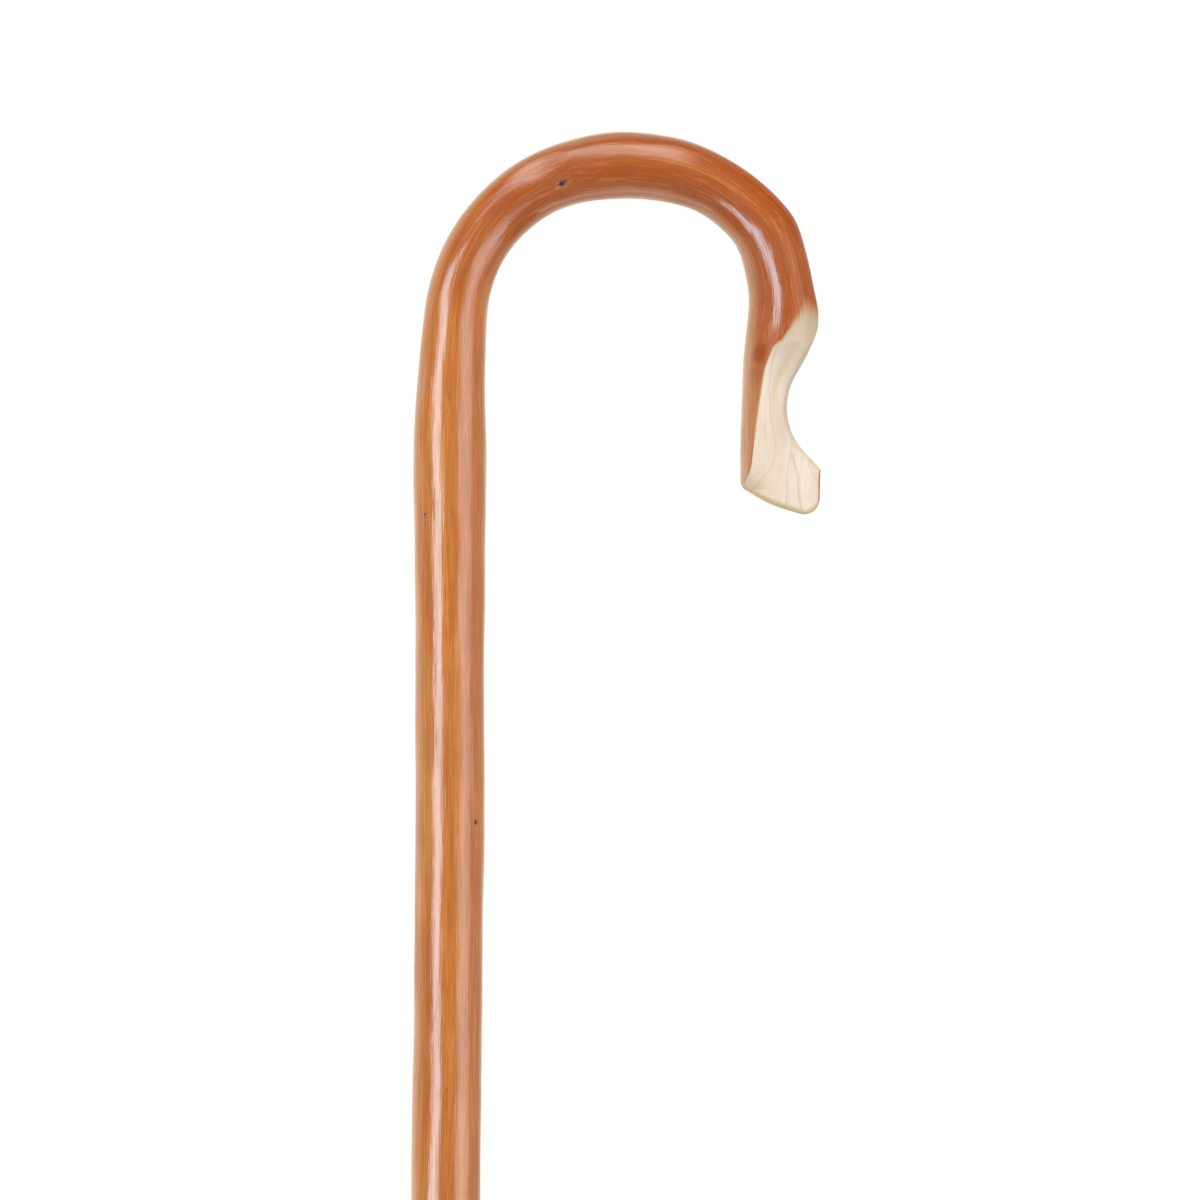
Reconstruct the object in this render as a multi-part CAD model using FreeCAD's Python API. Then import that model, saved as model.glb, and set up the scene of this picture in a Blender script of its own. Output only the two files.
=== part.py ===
import FreeCAD, Part
import math
import os

# A shepherd's neck crook: one stick of chestnut, bent with steam into an open hook
# and whittled at its free end, with a metal ferrule at the foot.
# Millimetres. The shank stands along +Z with its foot on the origin, and the hook
# bends over towards +X, so the whole hook lies in the XZ plane.

# Shank
FOOT_TO_BEND = 1152.7           # sole of the foot to where the bend starts
FOOT_DIAMETER = 23.6            # wood just above the ferrule
GRIP_DIAMETER = 25.5            # the straight, round stretch that is held
GRIP_LENGTH = 400.0
SWELL_LENGTH = 112.7            # top of that stretch to the start of the bend
SWELL_DIAMETER = 26.0           # halfway up the swell
FOOT_CHAMFER = 0.6

# Bend, from the shank round to the free end: radius of the stick's middle line,
# turn in degrees, and the stick's diameter where the arc starts and halfway along it
BEND = (
    ("easing", 562.0, 5.2, 26.8, 24.9),
    ("near shoulder", 59.1, 69.9, 23.3, 22.1),
    ("crown", 77.4, 25.3, 23.3, 24.4),
    ("far shoulder", 57.9, 41.2, 24.3, 22.5),
    ("knuckle", 25.0, 19.5, 23.5, 24.1),
    ("drop", 85.8, 19.9, 23.9, 24.0),
)
SECTION_STEP = 10.0             # about the distance between two sections of the bend

# Nose: the straight free end, which flares out of the bend
NOSE_LENGTH = 70.4              # end of the bend to the lowest point of the toe
NOSE_START_DIAMETER = 26.3
NOSE_FLARE = ((16.0, 28.8), (34.0, 29.5))   # distance down the nose, diameter
TOE_DIAMETER = 29.7
NOSE_SPARE = 12.0               # extra length that the end cut takes off

# Whittled outline of the nose, as straight knife cuts with rounded corners. Each corner has
# its distance in from the toe's outer side, its height above the toe's lowest point, and
# its rounding. The notch runs from above the shoulder down to past the toe's lip, and
# the slanted end cut from past the toe's corner to past its heel.
NOTCH = (
    (-2.6, 88.0, 0.0),
    (1.1, 66.7, 90.0),
    (19.0, 35.8, 23.5),
    (-2.2, 14.2, 0.0),
)
END_CUT = (
    (-1.8, 10.0, 0.0),
    (2.3, -1.3, 5.3),
    (17.8, 3.5, 50.0),
    (28.2, 9.3, 4.0),
    (33.0, 17.0, 0.0),
)
NOTCH_ROUNDING = 4.5            # soft ridges beside the notch
END_ROUNDING = 1.8              # edges of the end cut
TOUCHING = 0.01                 # closer than this, an edge lies on a line

# Whittled flats, front and back, which thin the nose to a blunt toe
TOE_THICKNESS = 14.0            # on the middle line, level with the toe's lowest point
FLAT_RISE = 5.0                 # degrees that each flat opens upwards
FLAT_SWING = 7.5                # degrees that each flat opens towards the shank

# Ferrule: a brass sleeve on a shaved tenon, closed by a steel tip
SLEEVE_DIAMETER = 22.0
SLEEVE_WALL = 1.0
SLEEVE_LENGTH = 32.0
SLEEVE_CHAMFER = 0.3
TIP_DIAMETER = 21.4
TIP_THICKNESS = 4.0
TIP_CHAMFER = 1.0
TIP_PLUG_LENGTH = 5.0
TIP_CLEARANCE = 0.02            # plug in the sleeve, all round
TENON_CLEARANCE = 0.05          # wood in the sleeve, all round

# Ferrule pins, driven through the sleeve into the wood and dressed flush
PIN_COUNT = 2
PIN_DIAMETER = 1.6
PIN_DEPTH = 5.5                 # reach in from the sleeve's outside
PIN_DROP = 9.0                  # below the sleeve's top edge

UP = FreeCAD.Vector(0, 0, 1)
ACROSS = FreeCAD.Vector(0, 1, 0)
SLEEVE_TOP = TIP_THICKNESS + SLEEVE_LENGTH
GRIP_TOP = FOOT_TO_BEND - SWELL_LENGTH
GRIP_BOTTOM = GRIP_TOP - GRIP_LENGTH


def heading(angle):
    """Unit vector in the XZ plane, from +X at 0 degrees to +Z at 90 degrees."""
    turn = math.radians(angle)
    return FreeCAD.Vector(math.cos(turn), 0, math.sin(turn))


def bend_arcs():
    """Each arc of the bend: where it starts along the stick, its start point and heading."""
    arcs = []
    along = 0.0
    point = FreeCAD.Vector(0, 0, FOOT_TO_BEND)
    angle = 90.0
    for name, radius, turn, start_diameter, middle_diameter in BEND:
        length = radius * math.radians(turn)
        arcs.append((along, length, point, angle, radius))
        centre = point + heading(angle - 90.0) * radius
        angle -= turn
        point = centre + heading(angle + 90.0) * radius
        along += length
    return arcs, along, point, angle


ARCS, BEND_LENGTH, NOSE_START, NOSE_HEADING = bend_arcs()
TOE_LEVEL = NOSE_START.z - NOSE_LENGTH


def middle_line(along):
    """Point and heading of the stick's middle line, by distance from the start of the bend."""
    if along < 0:
        return FreeCAD.Vector(0, 0, FOOT_TO_BEND + along), 90.0
    if along > BEND_LENGTH:
        run = heading(NOSE_HEADING) * (along - BEND_LENGTH)
        return NOSE_START + run, NOSE_HEADING
    start, length, point, angle, radius = [arc for arc in ARCS if arc[0] <= along][-1]
    turned = math.degrees((along - start) / radius)
    centre = point + heading(angle - 90.0) * radius
    return centre + heading(angle - turned + 90.0) * radius, angle - turned


def girth_stations():
    """Diameter of the stick at each station, by distance from the start of the bend."""
    stations = [(-SWELL_LENGTH, GRIP_DIAMETER), (-SWELL_LENGTH / 2, SWELL_DIAMETER)]
    for arc, size in zip(ARCS, BEND):
        stations.append((arc[0], size[3]))
        stations.append((arc[0] + arc[1] / 2, size[4]))
    stations.append((BEND_LENGTH, NOSE_START_DIAMETER))
    for down, diameter in NOSE_FLARE:
        stations.append((BEND_LENGTH + down, diameter))
    stations.append((BEND_LENGTH + NOSE_LENGTH, TOE_DIAMETER))
    stations.append((BEND_LENGTH + NOSE_LENGTH + NOSE_SPARE, TOE_DIAMETER))
    return stations


def girth(along):
    """Diameter at one place: cubic between stations, level at each swell and neck."""
    rises = [(b[1] - a[1]) / (b[0] - a[0]) for a, b in zip(STATIONS, STATIONS[1:])]
    slopes = [0.0]
    for before, after in zip(rises, rises[1:]):
        slopes.append(2 * before * after / (before + after) if before * after > 0 else 0.0)
    slopes.append(0.0)
    last = len(STATIONS) - 2
    piece = min(last, max(0, sum(place <= along for place, size in STATIONS) - 1))
    (low, start), (high, end) = STATIONS[piece:piece + 2]
    part = (along - low) / (high - low)
    swing = part * part * (3 - 2 * part)
    ease_out = part * (1 - part) ** 2 * slopes[piece] * (high - low)
    ease_in = part * part * (part - 1) * slopes[piece + 1] * (high - low)
    return start + (end - start) * swing + ease_out + ease_in


STATIONS = girth_stations()


def section(along):
    """Round section of the stick, square to its middle line, seam on the inside."""
    point, angle = middle_line(along)
    circle = Part.Circle(point, heading(angle), girth(along) / 2)
    circle.XAxis = heading(angle - 90.0)
    return Part.Wire(circle.toShape())


def bent_stick():
    """The stick from the top of the grip to past the toe, lofted through round sections."""
    length = SWELL_LENGTH + BEND_LENGTH + NOSE_LENGTH + NOSE_SPARE
    steps = int(length / SECTION_STEP)
    places = [length * step / steps - SWELL_LENGTH for step in range(steps + 1)]
    return Part.makeLoft([section(along) for along in places], True, False)


def straight_shank():
    """Tenon, shoulder, taper and round grip, turned about the Z axis."""
    tenon = SLEEVE_DIAMETER / 2 - SLEEVE_WALL - TENON_CLEARANCE
    foot = FOOT_DIAMETER / 2
    grip = GRIP_DIAMETER / 2
    outline = Part.makePolygon([
        FreeCAD.Vector(0, 0, TIP_THICKNESS + TIP_PLUG_LENGTH),
        FreeCAD.Vector(tenon, 0, TIP_THICKNESS + TIP_PLUG_LENGTH),
        FreeCAD.Vector(tenon, 0, SLEEVE_TOP),
        FreeCAD.Vector(foot - FOOT_CHAMFER, 0, SLEEVE_TOP),
        FreeCAD.Vector(foot, 0, SLEEVE_TOP + FOOT_CHAMFER),
        FreeCAD.Vector(grip, 0, GRIP_BOTTOM),
        FreeCAD.Vector(grip, 0, GRIP_TOP),
        FreeCAD.Vector(0, 0, GRIP_TOP),
        FreeCAD.Vector(0, 0, TIP_THICKNESS + TIP_PLUG_LENGTH),
    ])
    return Part.Face(outline).revolve(FreeCAD.Vector(0, 0, 0), UP, 360)


def nose_point(out, up):
    """Point in the XZ plane, out from the nose's middle line and up from the toe."""
    level = TOE_LEVEL + up
    lean = (level - NOSE_START.z) / math.tan(math.radians(NOSE_HEADING))
    return FreeCAD.Vector(NOSE_START.x + lean + out, 0, level)


def knife_line(corners):
    """Straight runs between the corners, each inner corner rounded to its radius."""
    points = [nose_point(TOE_DIAMETER / 2 - inset, up) for inset, up, radius in corners]
    edges = []
    start = points[0]
    for before, point, after, corner in zip(points, points[1:], points[2:], corners[1:]):
        inwards = (before - point).normalize()
        onwards = (after - point).normalize()
        half = inwards.getAngle(onwards) / 2
        arc_start = point + inwards * (corner[2] / math.tan(half))
        arc_end = point + onwards * (corner[2] / math.tan(half))
        bisector = (inwards + onwards).normalize()
        arc_middle = point + bisector * (corner[2] / math.sin(half) - corner[2])
        edges.append(Part.makeLine(start, arc_start))
        edges.append(Part.Arc(arc_start, arc_middle, arc_end).toShape())
        start = arc_end
    edges.append(Part.makeLine(start, points[-1]))
    return edges, points[0], points[-1]


def flat_waste(side):
    """What one flat takes off: side is -1 for the front and 1 for the back."""
    reach = 2 * TOE_DIAMETER
    rise = math.tan(math.radians(FLAT_RISE))
    swing = math.tan(math.radians(FLAT_SWING))
    corners = []
    for out, up in ((-reach, -reach), (reach, -reach), (reach, 2 * reach), (-reach, 2 * reach)):
        corner = nose_point(0, 0) + FreeCAD.Vector(out, 0, up)
        corner.y = side * (TOE_THICKNESS / 2 + up * rise - out * swing)
        corners.append(corner)
    face = Part.Face(Part.makePolygon(corners + corners[:1]))
    return face.extrude(ACROSS * side * reach)


def knife_edges(blank, knife):
    """The edges of the blank that run along a knife line, on both flats."""
    line = Part.Wire(knife)
    edges = []
    for edge in blank.Edges:
        middle = edge.valueAt((edge.FirstParameter + edge.LastParameter) / 2)
        level = Part.Vertex(middle.x, 0, middle.z)
        if abs(middle.y) > TOUCHING and level.distToShape(line)[0] < TOUCHING:
            edges.append(edge)
    return edges


def nose_blank():
    """What is left of the nose between its cuts, reaching past the stick elsewhere."""
    reach = TOE_DIAMETER
    notch, notch_top, notch_low = knife_line(NOTCH)
    end, end_start, end_heel = knife_line(END_CUT)
    inner_low = FreeCAD.Vector(end_heel.x - reach, 0, end_heel.z)
    inner_top = FreeCAD.Vector(inner_low.x, 0, notch_top.z)
    outline = Part.Wire(notch + [Part.makeLine(notch_low, end_start)] + end + [
        Part.makeLine(end_heel, inner_low),
        Part.makeLine(inner_low, inner_top),
        Part.makeLine(inner_top, notch_top),
    ])
    outline.translate(ACROSS * -reach)
    blank = Part.Face(outline).extrude(ACROSS * 2 * reach)
    blank = blank.cut([flat_waste(-1), flat_waste(1)])
    blank = blank.makeFillet(NOTCH_ROUNDING, knife_edges(blank, notch))
    return blank.makeFillet(END_ROUNDING, knife_edges(blank, end))


def ferrule_pin(number):
    """One pin, set square to the sleeve; its outer end follows the sleeve's round."""
    angle = math.radians(90 + 360 * number / PIN_COUNT)
    outwards = FreeCAD.Vector(math.cos(angle), math.sin(angle), 0)
    outside = SLEEVE_DIAMETER / 2
    foot = outwards * (outside - PIN_DEPTH) + UP * (SLEEVE_TOP - PIN_DROP)
    pin = Part.makeCylinder(PIN_DIAMETER / 2, PIN_DEPTH * 2, foot, outwards)
    return pin.common(Part.makeCylinder(outside, SLEEVE_TOP))


def ferrule_pins():
    """The pins that hold the ferrule, as separate solids."""
    return Part.makeCompound([ferrule_pin(number) for number in range(PIN_COUNT)])


def ferrule_sleeve():
    """Parallel tube round the tenon, pierced for the pins."""
    outside = SLEEVE_DIAMETER / 2
    foot = UP * TIP_THICKNESS
    tube = Part.makeCylinder(outside, SLEEVE_LENGTH, foot)
    rims = [edge for edge in tube.Edges if isinstance(edge.Curve, Part.Circle)]
    tube = tube.makeChamfer(SLEEVE_CHAMFER, rims)
    tube = tube.cut(Part.makeCylinder(outside - SLEEVE_WALL, SLEEVE_LENGTH, foot))
    return tube.cut(ferrule_pins())


def ferrule_tip():
    """Sole plate with a plug that sits inside the sleeve."""
    radius = TIP_DIAMETER / 2
    sole = Part.makeCylinder(radius, TIP_THICKNESS)
    rim = [edge for edge in sole.Edges if edge.BoundBox.ZMax < TIP_THICKNESS / 2]
    sole = sole.makeChamfer(TIP_CHAMFER, rim)
    plug = SLEEVE_DIAMETER / 2 - SLEEVE_WALL - TIP_CLEARANCE
    return sole.fuse(Part.makeCylinder(plug, TIP_PLUG_LENGTH, UP * TIP_THICKNESS))


def chestnut_stick():
    """Shank, bend and whittled nose, one piece of wood, pierced for the ferrule's pins."""
    stick = straight_shank().fuse(bent_stick()).removeSplitter()
    reach = TOE_DIAMETER
    room = 2 * reach
    start = nose_point(0, -reach) - FreeCAD.Vector(reach, reach, 0)
    waste = Part.makeBox(room, room, reach + NOTCH[0][1], start)
    stick = stick.cut(waste.cut(nose_blank())).cut(ferrule_pins())
    return stick.Solids[0]


def save(node, shape):
    """Writes one piece and prints its solids and its volume."""
    shape.exportStep("parts/" + node + ".step")
    print("%s: %d solid(s), %.1f mm3" % (node, len(shape.Solids), shape.Volume))


os.makedirs("parts", exist_ok=True)
save("chestnut_stick", chestnut_stick())
save("ferrule_sleeve", ferrule_sleeve())
save("ferrule_tip", ferrule_tip())
save("ferrule_pins", ferrule_pins())
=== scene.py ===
import math

import bpy
import numpy as np
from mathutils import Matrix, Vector


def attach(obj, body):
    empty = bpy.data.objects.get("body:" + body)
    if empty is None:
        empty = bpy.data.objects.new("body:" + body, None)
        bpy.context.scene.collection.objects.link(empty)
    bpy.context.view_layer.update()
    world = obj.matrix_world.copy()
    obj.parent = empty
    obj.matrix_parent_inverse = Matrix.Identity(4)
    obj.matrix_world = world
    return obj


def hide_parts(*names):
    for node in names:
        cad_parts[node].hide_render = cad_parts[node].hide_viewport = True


# Looks of a shepherd's neck crook: one varnished chestnut stick, bent with steam and
# whittled at its free end, on a brass and steel ferrule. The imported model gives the
# frame. Sizes are in millimetres here and become metres where a mesh is made.

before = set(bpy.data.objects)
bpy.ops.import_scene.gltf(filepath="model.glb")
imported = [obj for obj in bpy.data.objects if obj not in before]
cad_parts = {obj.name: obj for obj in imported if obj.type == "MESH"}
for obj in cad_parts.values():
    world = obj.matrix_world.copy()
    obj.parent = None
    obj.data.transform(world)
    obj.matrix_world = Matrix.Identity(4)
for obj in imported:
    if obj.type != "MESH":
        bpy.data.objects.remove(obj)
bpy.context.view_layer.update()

MM = 0.001

# Shank and bend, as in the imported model. "Along" is the distance from the sole of the
# foot, measured on the stick's middle line.
FOOT_TO_BEND = 1152.7
TENON_FOOT = 9.0
SHOULDER = 36.0
TENON_RADIUS = 9.95
FOOT_CHAMFER = 0.6
BEND = (
    (562.0, 5.2, 26.8, 24.9),
    (59.1, 69.9, 23.3, 22.1),
    (77.4, 25.3, 23.3, 24.4),
    (57.9, 41.2, 24.3, 22.5),
    (25.0, 19.5, 23.5, 24.1),
    (85.8, 19.9, 23.9, 24.0),
)
GRIP_TOP = 1040.0
SHANK_GIRTH = ((36.6, 23.6), (640.0, 25.5), (GRIP_TOP, 25.5), (1096.35, 26.0))
NOSE_GIRTH = ((0.0, 26.3), (16.0, 28.8), (34.0, 29.5), (70.4, 29.7), (82.4, 29.7))
NOSE_LENGTH = 70.4
TOE_DIAMETER = 29.7

# Knife work on the nose: distance in from the toe's outer side, height above the
# toe's lowest point, rounding of the corner
NOTCH = ((-2.6, 88.0, 0.0), (1.1, 66.7, 90.0), (19.0, 35.8, 23.5), (-2.2, 14.2, 0.0))
END_CUT = (
    (-1.8, 10.0, 0.0),
    (2.3, -1.3, 5.3),
    (17.8, 3.5, 50.0),
    (28.2, 9.3, 4.0),
    (33.0, 17.0, 0.0),
)
NOTCH_ROUNDING = 3.2
END_ROUNDING = 1.8
SKIN_ROUNDING = 0.35            # where a cut leaves the round of the stick
TOE_THICKNESS = 14.0
FLAT_RISE = 5.0
FLAT_SWING = 7.5
FLAT_LIFT = 1.3                 # how far each flat eases outwards where it runs out at its top
HEEL_DROP = 7.5                 # how far each flat falls away towards the heel of the toe
LIP_DROP = 1.5                  # how far each flat falls away towards its lip
HOLLOW = 1.2                    # depth of the hollow beside the ridge of the notch

# A year's growth ring across the flats: height above the toe, its distance from the pith.
# The ring inside it keeps to one distance.
YEAR_RING = ((3, 15.0), (8, 13.6), (11.8, 12.6), (15, 11.3), (18.6, 10.4), (24.1, 10.2),
             (29, 11.0), (34.6, 12.1), (42, 12.8), (50, 13.3), (65, 14.0))
INNER_RING = 8.5
PITH_OUT = 2.0

# First light strokes of the knife: degrees round from the outer side, how high above the
# toe they start there, and how fast they bite. They only skim the skin off.
SKIM_DEGREES = (0, 12, 22, 32, 45, 57, 67, 73, 79, 87, 95, 104, 112, 125, 180)
SKIM_TOP = (75, 75.5, 77.5, 79.5, 80.5, 80, 76, 73.5, 70.5, 67, 64.5, 60, 40, 0, -40)
SKIM_SLOPE = (0.10, 0.09, 0.07, 0.06, 0.055, 0.06, 0.08, 0.11, 0.15, 0.25, 0.25, 0.25, 0.25, 0.25, 0.25)
SKIM_DEEPEST = 0.9

# Slow swells of the natural stick: height, lobes round it, length of one wave, start
SWELLS = (
    (0.060, 3, 73.0, 0.4),
    (0.045, 4, -47.0, 2.1),
    (0.035, 5, 31.0, 4.4),
    (0.090, 2, 131.0, 1.2),
    (0.022, 6, -37.0, 5.2),
    (0.060, 1, 97.0, 3.0),
)

# Where the stick grew out of round, judged from where its highlights fall: place, spread
# along it, height, degrees round it of one of its two high sides
OVALS = (
    (1380.0, 34.0, 1.05, -135.0),
    (1372.0, 30.0, 0.35, -90.0),
    (1205.0, 50.0, 0.42, -135.0),
    (800.0, 420.0, 0.17, -45.0),
)

# Dents and swellings: place, degrees round (0 towards the mouth, -90 to the front),
# depth, spread along the stick, spread round it
DENTS = (
    (1264.0, -113.0, 1.10, 7.0, 5.0),
    (1278.0, -108.0, -0.55, 5.0, 5.0),
    (1252.0, -100.0, -0.30, 7.0, 5.0),
    (1276.0, -74.0, 0.35, 8.0, 5.0),
    (1305.0, -128.0, 0.35, 9.0, 7.0),
    (1388.0, 180.0, -0.45, 8.0, 9.0),
    (1131.0, -118.0, 0.16, 6.0, 4.0),
    (1110.0, -112.0, -0.12, 9.0, 5.0),
    (1357.0, 172.0, -0.25, 9.0, 9.0),
    (700.0, 30.0, 0.20, 14.0, 6.0),
    (520.0, -140.0, 0.22, 16.0, 6.0),
    (310.0, 110.0, 0.20, 12.0, 6.0),
)

# Knots: place, degrees round, radius, how dark, depth and spread of the dip about each
KNOTS = (
    (1270.0, -68.8, 1.40, 1.00, 0.40, 5.0),
    (1128.0, -132.6, 0.85, 0.85, 0.25, 5.0),
    (1015.0, -38.5, 0.75, 0.95, 0.15, 4.0),
    (1201.0, -53.6, 0.35, 0.55, 0.12, 4.0),
    (917.0, -87.3, 0.25, 0.60, 0.05, 4.0),
    (1322.0, 118.0, 0.80, 0.90, 0.30, 7.0),
    (1090.0, 74.0, 0.85, 0.85, 0.25, 6.0),
    (826.0, 137.0, 0.65, 0.80, 0.20, 6.0),
    (742.0, -12.0, 0.80, 0.95, 0.25, 7.0),
    (585.0, -118.0, 0.60, 0.80, 0.20, 6.0),
    (431.0, 46.0, 0.85, 0.90, 0.30, 7.0),
    (262.0, -71.0, 0.60, 0.80, 0.20, 6.0),
    (139.0, 158.0, 0.60, 0.85, 0.20, 6.0),
)

# Scorched patches from bending: place, degrees round, how far it reaches, how strong
SCORCHES = (
    (1401.5, -50.0, 4.5, 0.85),
    (1409.0, -46.0, 4.0, 0.40),
    (1322.0, -30.0, 7.0, 0.30),
    (1236.0, 150.0, 8.0, 0.45),
    (1391.0, 95.0, 6.0, 0.45),
    (1196.0, 60.0, 7.0, 0.35),
)

COLUMNS = 168                   # points round the stick
TOE_HEART_UP = 18.0             # height of the point inside the toe that its end is seen from
CLOSING_RINGS = 80              # rings that close the toe round that point
WHITTLED_FROM = 20.0            # the knife work stays below this far above the bend's end
LONGEST_RAY = 40.0
HALVINGS = 30
GRIP_RADIUS = 12.5              # about the stick's radius, for places given in degrees
FLOOR_RADIUS = 950.0
FLOOR_SIDES = 96


def heading(angle):
    """Unit vectors in the XZ plane: +X at 0 degrees, +Z at 90 degrees."""
    turn = np.radians(angle)
    return np.stack([np.cos(turn), np.zeros_like(turn), np.sin(turn)], -1)


def bend_arcs():
    """Start, radius, start point and heading of each arc, each arc tangent to the last."""
    starts, radii, points, angles = [], [], [], []
    along, point, angle = FOOT_TO_BEND, np.array([0.0, 0.0, FOOT_TO_BEND]), 90.0
    for radius, turn, start_girth, middle_girth in BEND:
        starts.append(along)
        radii.append(radius)
        points.append(point)
        angles.append(angle)
        centre = point + heading(angle - 90.0) * radius
        angle -= turn
        point = centre + heading(angle + 90.0) * radius
        along += radius * math.radians(turn)
    arcs = np.array(starts), np.array(radii), np.array(points), np.array(angles)
    return arcs, along, point, angle


ARCS, BEND_END, NOSE_START, NOSE_HEADING = bend_arcs()
TOE_END = BEND_END + NOSE_LENGTH
TOE_LEVEL = NOSE_START[2] - NOSE_LENGTH


def middle_line(along):
    """Points and headings of the middle line: straight shank, tangent arcs, straight nose."""
    starts, radii, points, angles = ARCS
    arc = np.clip(np.searchsorted(starts, along, "right") - 1, 0, len(starts) - 1)
    turned = np.degrees((along - starts[arc]) / radii[arc])
    centre = points[arc] + heading(angles[arc] - 90.0) * radii[arc][..., None]
    bent = centre + heading(angles[arc] - turned + 90.0) * radii[arc][..., None]
    zero = np.zeros_like(along)
    shank = np.stack([zero, zero, along], -1)
    nose = NOSE_START + heading(NOSE_HEADING) * (along - BEND_END)[..., None]
    on_shank = along < FOOT_TO_BEND
    on_nose = along > BEND_END
    place = np.where(on_shank[..., None], shank, np.where(on_nose[..., None], nose, bent))
    angle = np.where(on_shank, 90.0, np.where(on_nose, NOSE_HEADING, angles[arc] - turned))
    return place, angle


def girth_stations():
    """Places along the stick and the radius at each."""
    stations = list(SHANK_GIRTH)
    for start, radius, row in zip(ARCS[0], ARCS[1], BEND):
        stations.append((start, row[2]))
        stations.append((start + radius * math.radians(row[1]) / 2, row[3]))
    stations += [(BEND_END + down, size) for down, size in NOSE_GIRTH]
    place, size = np.array(stations).T
    return place, size / 2


def girth(along):
    """Radius at each place: cubics between stations, level at each swell and neck."""
    place, size = girth_stations()
    gap = np.diff(place)
    rise = np.diff(size) / gap
    both = rise[:-1] * rise[1:]
    total = np.where(rise[:-1] + rise[1:] == 0, 1.0, rise[:-1] + rise[1:])
    slope = np.concatenate([[0.0], np.where(both > 0, 2 * both / total, 0.0), [0.0]])
    piece = np.clip(np.searchsorted(place, along, "right") - 1, 0, len(gap) - 1)
    part = np.clip((along - place[piece]) / gap[piece], 0.0, 1.0)
    swing = part * part * (3 - 2 * part)
    leave = part * (1 - part) ** 2 * slope[piece] * gap[piece]
    arrive = part * part * (part - 1) * slope[piece + 1] * gap[piece]
    return size[piece] + (size[piece + 1] - size[piece]) * swing + leave + arrive


def turn_between(around, other):
    """Smallest turn from one place round the stick to another, in radians."""
    return (around - other + math.pi) % (2 * math.pi) - math.pi


def natural_radius(along, around):
    """Girth, plus slow waves and ovals, less a soft dip for each dent and about each knot."""
    radius = girth(along)
    for height, lobes, wave, start in SWELLS:
        radius = radius + height * np.cos(lobes * around + 2 * math.pi * along / wave + start)
    for place, spread, height, degrees in OVALS:
        share = np.exp(-((along - place) / spread) ** 2)
        radius = radius + height * share * np.cos(2 * (around - math.radians(degrees)))
    dips = DENTS + tuple((knot[0], knot[1], knot[4], knot[5] * 1.5, knot[5]) for knot in KNOTS)
    for place, degrees, depth, long, wide in dips:
        across = turn_between(around, math.radians(degrees)) * GRIP_RADIUS
        radius = radius - depth * np.exp(-((along - place) / long) ** 2 - (across / wide) ** 2)
    return radius


def knife_line(corners):
    """Points along a knife line: straight runs, each inner corner an arc of its rounding."""
    corners = np.array(corners)
    points = np.stack([TOE_DIAMETER / 2 - corners[:, 0], corners[:, 1]], -1)
    line = [points[:1]]
    for before, point, after, rounding in zip(points, points[1:], points[2:], corners[1:, 2]):
        back = (before - point) / np.linalg.norm(before - point)
        on = (after - point) / np.linalg.norm(after - point)
        half = math.acos(float(np.clip(back @ on, -1, 1))) / 2
        bisector = (back + on) / np.linalg.norm(back + on)
        centre = point + bisector * rounding / math.sin(half)
        first = point + back * rounding / math.tan(half) - centre
        last = point + on * rounding / math.tan(half) - centre
        share = np.linspace(0, 1, 25)[:, None]
        arc = first * (1 - share) + last * share
        arc *= rounding / np.linalg.norm(arc, axis=1, keepdims=True)
        line.append(centre + arc)
    line.append(points[-1:])
    return np.concatenate(line)


NOTCH_LINE = knife_line(NOTCH)[::-1]
END_LINE = knife_line(END_CUT)[::-1]


def past_line(value, place, line_place, line_value):
    """Distance past a line given as value against place, square to the line."""
    limit = np.interp(place, line_place, line_value)
    slope = np.interp(place, line_place, np.gradient(line_value, line_place))
    return (value - limit) / np.hypot(1.0, slope)


def rounded_meet(one, two, rounding):
    """The further out of two distances, with the edge between them rounded to a radius."""
    a = np.maximum(one + rounding, 0.0)
    b = np.maximum(two + rounding, 0.0)
    return np.minimum(np.maximum(one, two) + rounding, 0.0) + np.hypot(a, b) - rounding


def skimmed(up, around):
    """How much the first strokes take off the skin, from nothing at their top edge down."""
    from_outside = np.degrees(math.pi - np.abs(around))
    top = np.interp(from_outside, SKIM_DEGREES, SKIM_TOP)
    slope = np.interp(from_outside, SKIM_DEGREES, SKIM_SLOPE)
    taken = np.clip((top - up) * slope, 0, SKIM_DEEPEST)
    above_lip = np.clip((up - 21) / 6, 0, 1)
    return taken * above_lip


def nose_place(along, inward):
    """Height above the toe's lowest point and distance out from the nose's middle line."""
    place, angle = middle_line(along)
    point = place + heading(angle - 90.0) * inward[..., None]
    lean = (point[..., 2] - NOSE_START[2]) / math.tan(math.radians(NOSE_HEADING))
    return point[..., 2] - TOE_LEVEL, point[..., 0] - NOSE_START[0] - lean


def year_of_growth(up, out, across):
    """Distance from the pith counted in rings: 0 at the inner ring, 1 at the year ring.

    Towards the mouth the low counts are drawn together between the two, so that the inner
    ring shows on the outer side only.
    """
    place, distance = np.array(YEAR_RING).T
    from_pith = np.hypot(out - PITH_OUT, across + 0.75 * (1 + np.tanh(across / 3)))
    year = (from_pith - INNER_RING) / (np.interp(up, place, distance) - INNER_RING)
    mouth_side = np.clip((PITH_OUT + 1 - out) / 3, 0, 1)
    return year + mouth_side * np.clip((0.6 - year) / 0.3, 0, 1) * (0.4 - year)


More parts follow.
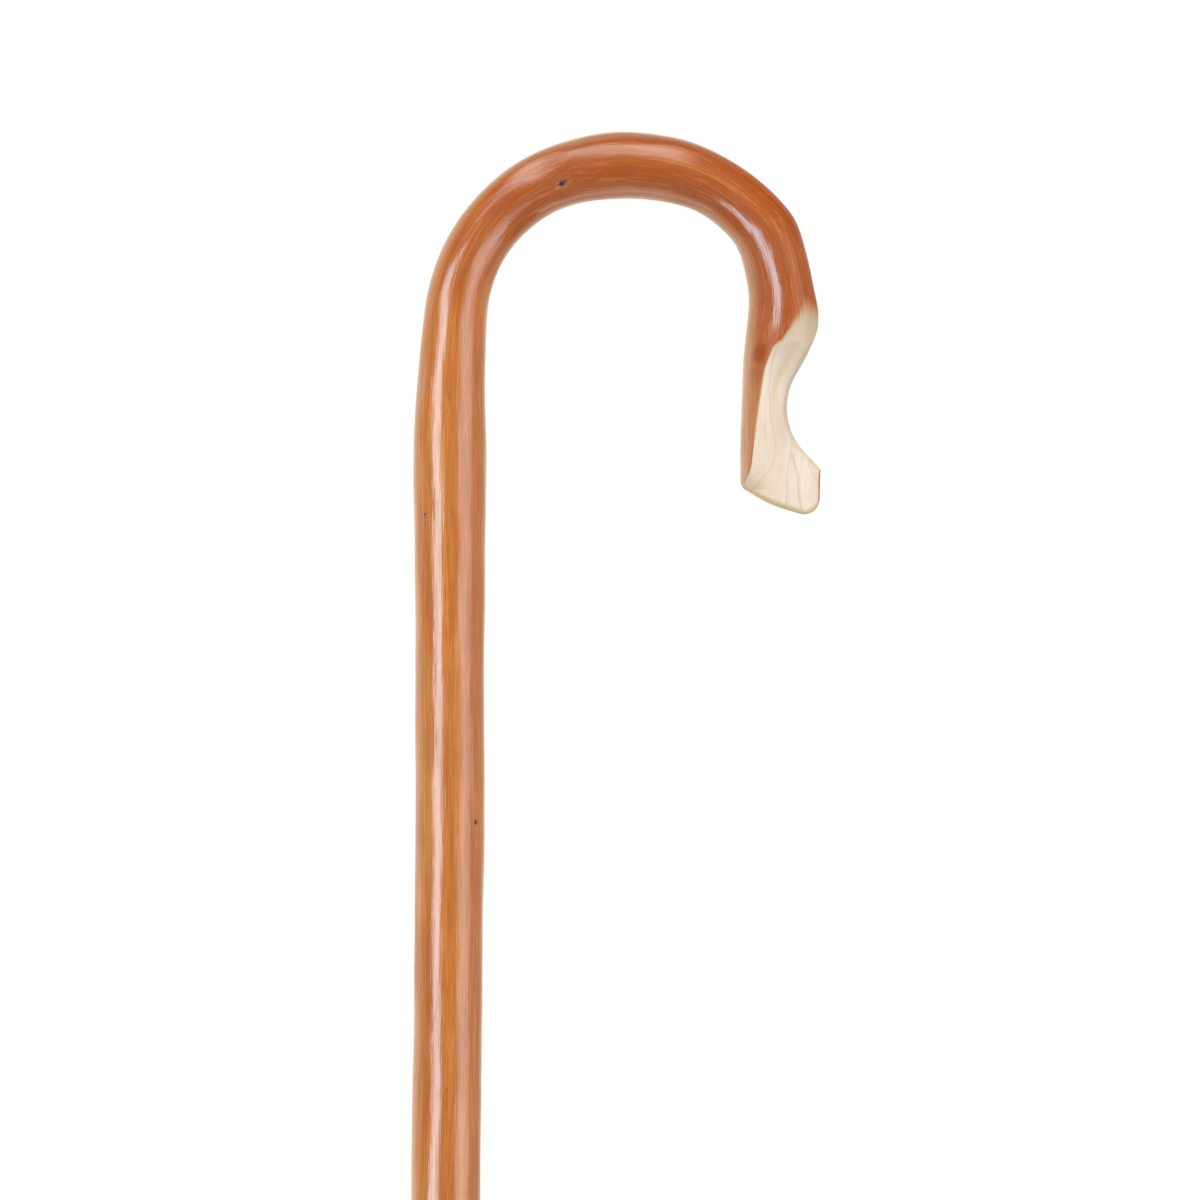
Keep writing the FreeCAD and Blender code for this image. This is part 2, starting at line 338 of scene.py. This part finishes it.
def stick_distances(along, inward, across):
    """How far outside the wood each point is: past the skin, the notch, the end and all."""
    up, out = nose_place(along, inward)
    around = np.arctan2(across, inward)
    skin = np.hypot(inward, across) - natural_radius(along, around)
    skim = skin + skimmed(up, around)
    notch = past_line(out, up, NOTCH_LINE[:, 1], NOTCH_LINE[:, 0])
    end = past_line(-up, out, END_LINE[:, 0], -END_LINE[:, 1])
    rise, swing = math.tan(math.radians(FLAT_RISE)), math.tan(math.radians(FLAT_SWING))
    lift = FLAT_LIFT * np.clip((up - 54) / 11, 0, 1) ** 2 * np.clip((out + 6) / 6, 0, 1)
    lift -= 0.4 * np.exp(-((up - 50) / 8) ** 2)
    heel = HEEL_DROP * np.clip((19 - up) / 10, 0, 1) ** 2 * np.clip(-out / 14, 0, 1) ** 2
    lip = LIP_DROP * np.clip((out - 4) / 10, 0, 1) ** 2 * np.clip((40 - up) / 20, 0, 1)
    hollow = HOLLOW * np.exp(-((notch + 4.7) / 1.8) ** 2 - ((up - 46) / 15) ** 2)
    flat = np.abs(across) - TOE_THICKNESS / 2 - up * rise + out * swing - lift + heel + lip + hollow
    knife = rounded_meet(rounded_meet(notch, flat, NOTCH_ROUNDING), end, END_ROUNDING)
    whittled = along > BEND_END - WHITTLED_FROM
    whole = np.where(whittled, rounded_meet(skim, knife, SKIN_ROUNDING), skin)
    return skin, notch, end, whole


def leave_wood(along, inward, run, aim_in, aim_across):
    """Where rays from inside the stick leave the wood, found by halving the distance."""
    near = np.zeros(np.broadcast(along, aim_in).shape)
    far = near + LONGEST_RAY
    for halving in range(HALVINGS):
        reach = (near + far) / 2
        whole = stick_distances(along + reach * run, inward + reach * aim_in, reach * aim_across)[3]
        inside = whole < 0
        near = np.where(inside, reach, near)
        far = np.where(inside, far, reach)
    return along + near * run, inward + near * aim_in, near * aim_across


def stick_places():
    """Grid of the stick's surface: along, inward and across of each point.

    Rings square to the middle line run from the shoulder to the heart of the toe, and
    rays fan out from that heart to close the toe. Each ray starts from a heart line that
    keeps to the middle of what the knife leaves, and aims at an ellipse as flat as it.
    """
    heart_end = TOE_END - TOE_HEART_UP
    knife_start = BEND_END - WHITTLED_FROM
    runs = ((SHOULDER + FOOT_CHAMFER, GRIP_TOP, 8.0), (GRIP_TOP, FOOT_TO_BEND, 4.0),
            (FOOT_TO_BEND, knife_start, 1.8), (knife_start, heart_end, 0.42))
    rings = [np.linspace(low, high, round((high - low) / step), endpoint=False)
             for low, high, step in runs]
    rings = np.concatenate(rings + [[heart_end]])
    closing = np.radians(np.linspace(0, 90, CLOSING_RINGS + 2)[1:-1])
    tilt = np.concatenate([np.zeros(len(rings)), closing])
    rings = np.concatenate([rings, np.full(CLOSING_RINGS, heart_end)])[:, None]
    tilt = tilt[:, None]
    up = TOE_END - rings
    heart = 5.5 * np.exp(-((up - 40) / 17) ** 2) + 1.5 * np.exp(-((up - 18) / 9) ** 2)
    flat = 0.5 + 0.5 * np.clip((up - 14) / 40, 0, 1)
    turn = np.linspace(0, 2 * math.pi, COLUMNS, endpoint=False)[None, :]
    aim = np.hypot(np.cos(turn), flat * np.sin(turn))
    aim_in = np.cos(turn) / aim * np.cos(tilt)
    aim_across = flat * np.sin(turn) / aim * np.cos(tilt)
    run = np.sin(tilt) + 0 * turn
    along = rings + 0 * turn
    return leave_wood(along, heart + 0 * turn, run, aim_in, aim_across)


def foot_places():
    """Grid of the tenon inside the ferrule and the shoulder above it, turned round Z."""
    profile = np.array([
        (TENON_FOOT, 5.0),
        (TENON_FOOT, TENON_RADIUS - 0.1),
        (TENON_FOOT + 0.1, TENON_RADIUS),
        (SHOULDER - 0.1, TENON_RADIUS),
        (SHOULDER, TENON_RADIUS + 0.1),
        (SHOULDER, 11.1),
        (SHOULDER + 0.1, 11.3),
    ])
    turn = np.linspace(0, 2 * math.pi, COLUMNS, endpoint=False)[None, :]
    along = profile[:, :1] + 0 * turn
    return along, profile[:, 1:] * np.cos(turn), profile[:, 1:] * np.sin(turn)


def wander(along):
    """Slight bow of the straight shank, none at the foot nor from the top of the grip up."""
    down = np.clip((1030.0 - along) / 190.0, 0, 1)
    up = np.clip(along / 500.0, 0, 1)
    bow = down * down * (3 - 2 * down) * up * up * (3 - 2 * up)
    return -1.7 * bow, 0.6 * bow * np.sin(along / 150.0)


def grid_faces(rows, columns, first):
    """Quads between neighbouring rows of a grid that closes round on itself."""
    row, column = np.meshgrid(np.arange(rows - 1), np.arange(columns), indexing="ij")
    beside = (column + 1) % columns
    corners = [row * columns + column, row * columns + beside,
               (row + 1) * columns + beside, (row + 1) * columns + column]
    return np.stack(corners, -1).reshape(-1, 4) + first


def add_mesh(name, points, quads, fans):
    """A smooth mesh from points in millimetres, four-sided faces and three-sided ones."""
    mesh = bpy.data.meshes.new(name)
    loops = np.concatenate([quads.ravel(), fans.ravel()])
    starts = np.concatenate([np.arange(len(quads)) * 4, len(quads) * 4 + np.arange(len(fans)) * 3])
    mesh.vertices.add(len(points))
    mesh.vertices.foreach_set("co", (points * MM).astype(np.float32).ravel())
    mesh.loops.add(len(loops))
    mesh.loops.foreach_set("vertex_index", loops.astype(np.int32))
    mesh.polygons.add(len(starts))
    mesh.polygons.foreach_set("loop_start", starts.astype(np.int32))
    mesh.update(calc_edges=True)
    mesh.shade_smooth()
    piece = bpy.data.objects.new(name, mesh)
    bpy.context.collection.objects.link(piece)
    return piece


def give_values(piece, name, kind, values):
    """Stores one value or vector for each point, which the wood's material reads."""
    field = "vector" if kind == "FLOAT_VECTOR" else "value"
    layer = piece.data.attributes.new(name, kind, "POINT")
    layer.data.foreach_set(field, values.astype(np.float32).ravel())


def make_stick():
    """The crook's one piece of wood, from tenon to toe, with its poles closed.

    Each point also gets its place in the stick as it grew, before it was bent, how deep
    under the skin it is, how much painted golden shade it takes (along the rounded rims of
    the cuts, on the heel and in the hollow beside the notch), how much painted shade it
    takes on the flats towards the neck, and its year of growth.
    """
    grids = [foot_places(), stick_places()]
    along, inward, across = (np.concatenate(part) for part in zip(*grids))
    rows = along.shape[0]
    poles = np.array([[TENON_FOOT, 0.0, 0.0], [0.0, 0.0, 0.0]])
    tip = leave_wood(np.array([TOE_END - TOE_HEART_UP]), np.array([1.5]),
                     np.ones(1), np.zeros(1), np.zeros(1))
    poles[1] = [part[0] for part in tip]
    along = np.concatenate([along.ravel(), poles[:, 0]])
    inward = np.concatenate([inward.ravel(), poles[:, 1]])
    across = np.concatenate([across.ravel(), poles[:, 2]])
    place, angle = middle_line(along)
    points = place + heading(angle - 90.0) * inward[:, None]
    points[:, 1] = across
    bow_x, bow_y = wander(along)
    points[:, 0] += bow_x
    points[:, 1] += bow_y
    skin, notch, end, whole = stick_distances(along, inward, across)
    whittled = along > BEND_END - WHITTLED_FROM
    up, out = nose_place(along, inward)
    depth = np.maximum(-skin, 0.0)
    depth += 1.5 * np.maximum(depth - skimmed(up, np.arctan2(across, inward)), 0.0)
    depth = np.where(whittled, depth, 0.0)
    # Painted golden shade where the cuts turn from the light: along the rounded rim of the end cut, faintly
    # along the notch's edge, in the hollow beside the notch and on the heel of the toe.
    cut_shade = 1 / (1 + np.exp(-(end + 1.3) / 0.35))
    cut_shade = np.maximum(cut_shade, 0.3 * np.exp(np.minimum(notch, 0) / 1.0))
    valley_shade = 0.5 * np.exp(-((notch + 4.9) / 2.2) ** 2 - ((up - 48) / 15) ** 2)
    heel = 0.8 * np.clip((14 - up) / 7, 0, 1) * np.clip(-out / 9, 0, 1)
    # Painted shade on the flats towards the neck, growing upwards and towards the notch side.
    neck_shade = np.clip((out + 6) / 8, 0, 1) * np.clip((up - 20) / 14, 0, 1)
    cut_shade = np.where(whittled, np.maximum(np.maximum(cut_shade, valley_shade), heel), 0.0)
    quads = grid_faces(rows, COLUMNS, 0)
    column = np.arange(COLUMNS)
    beside = (column + 1) % COLUMNS
    last = (rows - 1) * COLUMNS
    foot = np.stack([beside, column, np.full(COLUMNS, rows * COLUMNS)], -1)
    toe = np.stack([last + column, last + beside, np.full(COLUMNS, rows * COLUMNS + 1)], -1)
    stick = add_mesh("crook_stick", points, quads, np.concatenate([foot, toe]))
    give_values(stick, "grown", "FLOAT_VECTOR", np.stack([inward, across, along], -1) * MM)
    give_values(stick, "depth", "FLOAT", depth)
    give_values(stick, "golden_shade", "FLOAT", cut_shade)
    give_values(stick, "neck_shade", "FLOAT", neck_shade)
    give_values(stick, "year", "FLOAT", year_of_growth(up, out, across))
    return stick


class Finish:
    """A material and short ways to add its nodes."""

    def __init__(self, name):
        self.material = bpy.data.materials.new(name)
        self.material.use_nodes = True
        self.tree = self.material.node_tree
        self.shader = self.tree.nodes["Principled BSDF"]

    def node(self, kind, **settings):
        made = self.tree.nodes.new(kind)
        for key, value in settings.items():
            setattr(made, key, value)
        return made

    def put(self, socket, value):
        if isinstance(value, bpy.types.NodeSocket):
            self.tree.links.new(value, socket)
        else:
            socket.default_value = value

    def maths(self, operation, one, two=0.0, three=0.0):
        made = self.node("ShaderNodeMath", operation=operation)
        for socket, value in zip(made.inputs, (one, two, three)):
            self.put(socket, value)
        return made.outputs[0]

    def stretch(self, vector, scale):
        made = self.node("ShaderNodeVectorMath", operation="MULTIPLY")
        self.put(made.inputs[0], vector)
        made.inputs[1].default_value = scale
        return made.outputs[0]

    def noise(self, vector, scale, detail=3.0, roughness=0.55, distortion=0.0):
        made = self.node("ShaderNodeTexNoise")
        self.put(made.inputs["Vector"], vector)
        made.inputs["Scale"].default_value = scale
        made.inputs["Detail"].default_value = detail
        made.inputs["Roughness"].default_value = roughness
        made.inputs["Distortion"].default_value = distortion
        return made.outputs["Fac"]

    def step(self, value, low, high, start=0.0, end=1.0):
        made = self.node("ShaderNodeMapRange", interpolation_type="SMOOTHSTEP")
        for socket, number in zip(made.inputs, (value, low, high, start, end)):
            self.put(socket, number)
        return made.outputs[0]

    def mix(self, share, one, two, kind="MIX"):
        made = self.node("ShaderNodeMix", data_type="RGBA", blend_type=kind)
        self.put(made.inputs["Factor"], share)
        self.put(made.inputs[6], one if isinstance(one, bpy.types.NodeSocket) else (*one, 1))
        self.put(made.inputs[7], two if isinstance(two, bpy.types.NodeSocket) else (*two, 1))
        return made.outputs[2]

    def ramp(self, value, stops):
        made = self.node("ShaderNodeValToRGB")
        self.put(made.inputs[0], value)
        band = made.color_ramp
        while len(band.elements) < len(stops):
            band.elements.new(0.5)
        for element, (place, colour) in zip(band.elements, stops):
            element.position = place
            element.color = (*colour, 1)
        return made.outputs["Color"]

    def bump(self, height, distance, strength=1.0, under=None):
        made = self.node("ShaderNodeBump")
        self.put(made.inputs["Height"], height)
        made.inputs["Distance"].default_value = distance
        made.inputs["Strength"].default_value = strength
        if under is not None:
            self.put(made.inputs["Normal"], under)
        return made.outputs[0]


def varnished_chestnut():
    """Stained skin over pale wood, both under a worn coat of varnish.

    Stain is a mix of broad, middling and fine streaks that run with the grain, redder
    round the bend where it was heated. It gives way to tan and then pale wood as the
    knife goes deeper, where growth rings show at their distance from the pith.
    """
    wood = Finish("varnished_chestnut")
    grown = wood.node("ShaderNodeAttribute", attribute_name="grown").outputs["Vector"]
    depth = wood.node("ShaderNodeAttribute", attribute_name="depth").outputs["Fac"]
    golden_shade = wood.node("ShaderNodeAttribute", attribute_name="golden_shade").outputs["Fac"]
    neck_shade = wood.node("ShaderNodeAttribute", attribute_name="neck_shade").outputs["Fac"]
    year = wood.node("ShaderNodeAttribute", attribute_name="year").outputs["Fac"]
    apart = wood.node("ShaderNodeSeparateXYZ")
    wood.put(apart.inputs[0], grown)
    inward = apart.outputs[0]
    from_foot = apart.outputs[2]

    broad = wood.noise(wood.stretch(grown, (1, 1, 0.09)), 150.0, 3.0, 0.5, 0.4)
    middling = wood.noise(wood.stretch(grown, (1, 1, 0.05)), 420.0, 4.0, 0.6, 0.3)
    fine = wood.noise(wood.stretch(grown, (1, 1, 0.03)), 1300.0, 2.0, 0.6)
    hair = wood.noise(wood.stretch(grown, (1, 1, 0.05)), 3200.0, 2.0, 0.6)
    cloud = wood.noise(wood.stretch(grown, (1, 1, 0.6)), 38.0, 2.0, 0.5)

    shank = wood.ramp(broad, [
        (0.30, (0.60, 0.150, 0.016)),
        (0.50, (0.68, 0.190, 0.026)),
        (0.70, (0.74, 0.245, 0.046)),
    ])
    bend = wood.ramp(broad, [
        (0.30, (0.46, 0.085, 0.010)),
        (0.50, (0.51, 0.102, 0.012)),
        (0.70, (0.58, 0.155, 0.027)),
    ])
    heat = wood.step(wood.maths("ADD", from_foot, wood.maths("MULTIPLY", cloud, 0.05)), 1.205, 1.285)
    stain = wood.mix(heat, shank, bend)
    stain = wood.mix(wood.step(from_foot, 1.290, 1.340, 0.0, 0.30), stain, (0.40, 0.062, 0.007))
    facing_mouth = wood.step(inward, 0.002, 0.011)
    mouth_side = wood.maths("MULTIPLY", facing_mouth, wood.step(from_foot, 1.385, 1.410))
    stain = wood.mix(wood.maths("MULTIPLY", mouth_side, 0.6), stain, (0.68, 0.31, 0.11))
    stain = wood.mix(wood.step(middling, 0.44, 0.70, 0.0, 0.27), stain, (0.36, 0.075, 0.011))
    stain = wood.mix(wood.step(middling, 0.46, 0.26, 0.0, 0.11), stain, (0.64, 0.27, 0.08))
    stain = wood.mix(wood.step(fine, 0.47, 0.66, 0.0, 0.27), stain, (0.25, 0.045, 0.008))
    stain = wood.mix(wood.step(fine, 0.50, 0.36, 0.0, 0.22), stain, (0.80, 0.36, 0.12))
    stain = wood.mix(wood.step(hair, 0.50, 0.66, 0.0, 0.20), stain, (0.22, 0.045, 0.010))
    stain = wood.mix(wood.step(cloud, 0.50, 0.68, 0.0, 0.20), stain, (0.40, 0.080, 0.022))

    lean = wood.noise(grown, 90.0, 1.0, 0.5)
    waved = wood.maths("MULTIPLY_ADD", lean, 0.24, year)
    ring = wood.ramp(wood.maths("MULTIPLY_ADD", waved, 0.25, 0.22), [
        (0.23, (0, 0, 0)), (0.25, (0.9, 0.9, 0.9)), (0.27, (0, 0, 0)),
        (0.48, (0, 0, 0)), (0.50, (1, 1, 1)), (0.52, (0, 0, 0)),
        (0.70, (0, 0, 0)), (0.72, (0.5, 0.5, 0.5)), (0.74, (0, 0, 0)),
    ])
    pale = wood.mix(wood.step(broad, 0.35, 0.68), (0.87, 0.665, 0.505), (0.92, 0.740, 0.605))
    pale = wood.mix(wood.step(middling, 0.45, 0.70, 0.0, 0.35), pale, (0.74, 0.57, 0.38))
    pale = wood.mix(wood.maths("MULTIPLY", ring, 0.40), pale, (0.52, 0.36, 0.18))
    pale = wood.mix(wood.step(fine, 0.52, 0.74, 0.0, 0.22), pale, (0.62, 0.46, 0.29))
    # Painted shade on the flats towards the neck.
    pale = wood.mix(wood.maths("MULTIPLY", neck_shade, 0.55), pale, (0.60, 0.46, 0.35))
    # Painted shade: the pale wood darker towards the top of the knife work, towards the neck.
    pale = wood.mix(wood.step(from_foot, 1.420, 1.386, 0.0, 0.6), pale, (0.60, 0.46, 0.30))
    # Painted golden shade along the rounded rims of the cuts, in the hollow beside the notch and on the heel.
    pale = wood.mix(wood.maths("MULTIPLY", golden_shade, 0.75), pale, (0.72, 0.485, 0.22))

    ragged = wood.maths("MULTIPLY_ADD", middling, 0.3, wood.maths("MULTIPLY_ADD", fine, 0.55, depth))
    to_tan = wood.step(ragged, 0.42, 0.90)
    to_pale = wood.step(ragged, 0.57, 1.12)
    surface = wood.mix(to_tan, stain, (0.62, 0.36, 0.15))
    surface = wood.mix(to_pale, surface, pale)

    speck = wood.noise(grown, 700.0, 2.0, 0.6)
    knots = 0.0
    halo = 0.0
    for place, degrees, size, dark, dip, spread in KNOTS:
        turn = math.radians(degrees)
        radius = float(natural_radius(np.array([place]), np.array([turn]))[0])
        spot = (radius * math.cos(turn) * MM, radius * math.sin(turn) * MM, place * MM * 0.75)
        gap = wood.node("ShaderNodeVectorMath", operation="DISTANCE")
        wood.put(gap.inputs[0], wood.stretch(grown, (1, 1, 0.75)))
        gap.inputs[1].default_value = spot
        near = wood.maths("MULTIPLY_ADD", speck, 0.0022, gap.outputs["Value"])
        hole = wood.step(near, (size * 1.3 + 1.0) * MM, (size * 0.4 + 1.0) * MM, 0.0, dark)
        ringed = wood.step(near, (size * 2.8 + 1.1) * MM, (size * 1.3 + 1.1) * MM, 0.0, dark)
        knots = wood.maths("MAXIMUM", hole, knots)
        halo = wood.maths("MAXIMUM", ringed, halo)
    scorched = 0.0
    for place, degrees, reach, strength in SCORCHES:
        turn = math.radians(degrees)
        spot = (GRIP_RADIUS * math.cos(turn) * MM, GRIP_RADIUS * math.sin(turn) * MM, place * MM)
        gap = wood.node("ShaderNodeVectorMath", operation="DISTANCE")
        wood.put(gap.inputs[0], grown)
        gap.inputs[1].default_value = spot
        near = wood.maths("MULTIPLY_ADD", broad, 0.006, gap.outputs["Value"])
        patch = wood.step(near, (reach + 6) * MM, (reach * 0.4 + 3) * MM, 0.0, strength)
        scorched = wood.maths("MAXIMUM", patch, scorched)
    under_skin = wood.maths("SUBTRACT", 1.0, to_tan)
    surface = wood.mix(wood.maths("MULTIPLY", scorched, under_skin), surface, (0.34, 0.060, 0.007))
    surface = wood.mix(wood.maths("MULTIPLY", halo, 0.3), surface, (0.42, 0.15, 0.07))
    surface = wood.mix(knots, surface, (0.070, 0.016, 0.006))
    chips = wood.maths("MULTIPLY", halo, wood.step(hair, 0.57, 0.66))
    surface = wood.mix(wood.maths("MULTIPLY", chips, 0.4), surface, (0.74, 0.42, 0.27))
    wood.put(wood.shader.inputs["Base Color"], surface)

    rough = wood.step(middling, 0.3, 0.7, 0.36, 0.46)
    rough = wood.maths("MULTIPLY_ADD", knots, 0.4, wood.maths("MULTIPLY_ADD", to_pale, 0.14, rough))
    wood.put(wood.shader.inputs["Roughness"], rough)
    facing_out = wood.step(inward, 0.001, -0.006)
    rubbed = wood.maths("MULTIPLY", facing_out, wood.step(from_foot, 1.300, 1.345))
    worn = wood.maths("MAXIMUM", wood.maths("MULTIPLY", rubbed, 0.85), wood.step(cloud, 0.52, 0.66, 0.0, 0.3))
    not_mouth = wood.step(inward, 0.0115, 0.008)
    whittled = wood.maths("MULTIPLY", wood.step(from_foot, 1.386, 1.397), not_mouth)
    worn = wood.maths("MAXIMUM", worn, whittled)
    bare = wood.maths("MAXIMUM", wood.maths("MAXIMUM", to_pale, knots), worn)
    wood.put(wood.shader.inputs["Coat Weight"], wood.step(bare, 0.0, 1.0, 1.0, 0.12))
    wood.shader.inputs["Specular IOR Level"].default_value = 0.2
    wood.shader.inputs["Coat Roughness"].default_value = 0.14
    wood.shader.inputs["Coat IOR"].default_value = 1.9

    ripples = wood.noise(wood.stretch(grown, (1, 1, 0.45)), 120.0, 2.0, 0.5)
    pits = wood.noise(wood.stretch(grown, (1, 1, 0.25)), 900.0, 2.0, 0.5)
    relief = wood.bump(ripples, 0.00035)
    relief = wood.bump(middling, 0.00006, 1.0, relief)
    relief = wood.bump(fine, 0.00003, 1.0, relief)
    relief = wood.bump(wood.step(pits, 0.66, 0.76, 1.0, 0.0), 0.00004, 1.0, relief)
    relief = wood.bump(wood.maths("SUBTRACT", 1.0, knots), 0.0006, 1.0, relief)
    wood.put(wood.shader.inputs["Normal"], relief)
    skin = wood.bump(ripples, 0.0003)
    skin = wood.bump(fine, 0.00008, 1.0, skin)
    skin = wood.bump(hair, 0.00002, 1.0, skin)
    skin = wood.bump(wood.maths("SUBTRACT", 1.0, knots), 0.0006, 1.0, skin)
    wood.put(wood.shader.inputs["Coat Normal"], skin)
    return wood.material


def turned_metal(name, colour, tarnish, rough):
    """Metal with fine turning lines round Z, slightly dull patches and small scratches."""
    metal = Finish(name)
    place = metal.node("ShaderNodeTexCoord").outputs["Object"]
    lines = metal.noise(metal.stretch(place, (0.02, 0.02, 1)), 3200.0, 2.0, 0.6)
    patches = metal.noise(place, 90.0, 3.0, 0.5, 0.3)
    scratches = metal.noise(metal.stretch(place, (1, 1, 0.12)), 1400.0, 2.0, 0.6)
    worn = metal.step(patches, 0.38, 0.72)
    surface = metal.mix(worn, colour, tarnish)
    metal.put(metal.shader.inputs["Base Color"], surface)
    metal.shader.inputs["Metallic"].default_value = 1.0
    metal.put(metal.shader.inputs["Roughness"], metal.step(patches, 0.35, 0.7, rough, rough + 0.12))
    relief = metal.bump(lines, 0.00002, 0.7)
    relief = metal.bump(metal.step(scratches, 0.68, 0.74, 1.0, 0.0), 0.00003, 0.8, relief)
    metal.put(metal.shader.inputs["Normal"], relief)
    return metal.material


def dress(node, material):
    """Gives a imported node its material."""
    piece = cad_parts[node]
    piece.data.materials.clear()
    piece.data.materials.append(material)


def softbox(name, azimuth, elevation, distance, size, glow, colour=(1, 1, 1), only=None):
    """A lamp with a flat face aimed at the middle of the hook, by its brightness.

    Only "sheen" leaves it in reflections alone, and only "fill" keeps it out of them.
    """
    lamp = bpy.data.lights.new(name, "AREA")
    lamp.shape = "RECTANGLE"
    lamp.size, lamp.size_y = size
    lamp.energy = glow * math.pi * size[0] * size[1]
    lamp.color = colour
    box = bpy.data.objects.new(name, lamp)
    turn, rise = math.radians(azimuth), math.radians(elevation)
    target = Vector((0.055, 0, 1.05))
    way = Vector((math.sin(turn) * math.cos(rise), -math.cos(turn) * math.cos(rise), math.sin(rise)))
    box.location = target + way * distance
    box.rotation_euler = way.to_track_quat("Z", "Y").to_euler()
    box.visible_camera = False
    box.visible_diffuse = only != "sheen"
    box.visible_glossy = only != "fill"
    bpy.context.collection.objects.link(box)
    return box


def pale_world():
    """White behind everything seen; softer and dimmer from the front where it only lights."""
    world = bpy.data.worlds.new("studio")
    bpy.context.scene.world = world
    world.use_nodes = True
    tree = world.node_tree
    back = tree.nodes["Background"]
    rays = tree.nodes.new("ShaderNodeLightPath")
    place = tree.nodes.new("ShaderNodeTexCoord")
    behind = tree.nodes.new("ShaderNodeVectorMath")
    behind.operation = "DOT_PRODUCT"
    tree.links.new(place.outputs["Generated"], behind.inputs[0])
    behind.inputs[1].default_value = (-0.33, 0.94, 0.0)
    front = tree.nodes.new("ShaderNodeMapRange")
    tree.links.new(behind.outputs["Value"], front.inputs[0])
    for socket, number in zip(list(front.inputs)[1:5], (0.05, 0.8, 0.06, 1.0)):
        socket.default_value = number
    lit = tree.nodes.new("ShaderNodeMix")
    tree.links.new(rays.outputs["Is Diffuse Ray"], lit.inputs[0])
    tree.links.new(front.outputs[0], lit.inputs[2])
    lit.inputs[3].default_value = 0.43
    seen = tree.nodes.new("ShaderNodeMix")
    tree.links.new(rays.outputs["Is Camera Ray"], seen.inputs[0])
    tree.links.new(lit.outputs[0], seen.inputs[2])
    seen.inputs[3].default_value = 1.0
    tree.links.new(seen.outputs[0], back.inputs["Strength"])
    tint = tree.nodes.new("ShaderNodeMix")
    tint.data_type = "RGBA"
    tree.links.new(rays.outputs["Is Glossy Ray"], tint.inputs[0])
    tint.inputs[6].default_value = (1, 1, 1, 1)
    tint.inputs[7].default_value = (1, 0.95, 0.77, 1)
    tree.links.new(tint.outputs[2], back.inputs["Color"])


def pale_floor():
    """Round floor at the foot, matt, which keeps the crook's shadow. The camera sees it nearly white; in the
    crook's reflections and bounced light it is painted dark in front and beige behind, which paints
    reflection and shade onto the crook.
    """
    turn = np.linspace(0, 2 * math.pi, FLOOR_SIDES, endpoint=False)
    points = np.stack([np.cos(turn), np.sin(turn), 0 * turn], -1) * FLOOR_RADIUS
    points = np.concatenate([points, [[0, 0, 0]]])
    ring = np.arange(FLOOR_SIDES)
    fans = np.stack([ring, (ring + 1) % FLOOR_SIDES, np.full(FLOOR_SIDES, FLOOR_SIDES)], -1)
    floor = add_mesh("floor", points, np.zeros((0, 4), int), fans)
    matt = Finish("floor_paper")
    rays = matt.node("ShaderNodeLightPath").outputs["Is Camera Ray"]
    apart = matt.node("ShaderNodeSeparateXYZ")
    matt.put(apart.inputs[0], matt.node("ShaderNodeTexCoord").outputs["Object"])
    # Painted reflection and shade on the crook: away from the camera the floor is dark in front and beige
    # behind.
    lit = matt.mix(matt.step(apart.outputs[1], -0.25, 0.08), (0.28, 0.26, 0.23), (0.90, 0.86, 0.76))
    matt.put(matt.shader.inputs["Base Color"], matt.mix(rays, lit, (0.92, 0.92, 0.92)))
    matt.shader.inputs["Roughness"].default_value = 0.9
    matt.shader.inputs["Specular IOR Level"].default_value = 0.0
    floor.data.materials.append(matt.material)


def add_camera():
    """Level view square to the hook, from 1.236 m, its lens as long as the photograph's."""
    lens = bpy.data.cameras.new("camera")
    lens.lens = 100.0
    lens.sensor_width = 36.0
    lens.clip_start = 0.05
    camera = bpy.data.objects.new("camera", lens)
    camera.location = (0.05566, -1.236, 1.09677)
    camera.rotation_euler = (math.pi / 2, 0, 0)
    bpy.context.collection.objects.link(camera)
    bpy.context.scene.camera = camera


add_camera()
stick = make_stick()
stick.data.materials.append(varnished_chestnut())
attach(stick, "root")
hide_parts("chestnut_stick")

brass = turned_metal("brass", (0.86, 0.57, 0.23), (0.76, 0.48, 0.19), 0.26)
steel = turned_metal("brushed_steel", (0.57, 0.56, 0.55), (0.42, 0.40, 0.38), 0.30)
dress("ferrule_sleeve", brass)
dress("ferrule_pins", brass)
dress("ferrule_tip", steel)

pale_world()
pale_floor()
softbox("left_box", -41, -1, 1.5, (0.68, 1.5), 3.8, (0.80, 1.0, 1.15))
softbox("right_box", 50, 0, 1.5, (1.35, 1.7), 0.97, (0.93, 1.02, 1.08))
softbox("right_middle", 50, 0, 1.4, (0.68, 1.6), 0.68, (0.91, 1.03, 1.10))
softbox("far_right_box", 94, 0, 1.5, (1.6, 1.7), 0.36, (1, 0.93, 0.82))
softbox("top_box", -14, 58, 1.3, (1.15, 1.1), 1.1, (0.95, 0.97, 0.9))
softbox("top_middle", -9, 65, 1.2, (0.75, 0.6), 1.1, (0.93, 0.98, 0.92))
softbox("under_box", 180, -70, 0.85, (1.3, 0.42), 0.45, (1, 0.93, 0.74), "sheen")
softbox("back_fill", -158, 8, 1.6, (1.3, 1.3), 1.2, (1, 0.98, 0.95), "fill")

bpy.context.scene.view_settings.view_transform = "Standard"
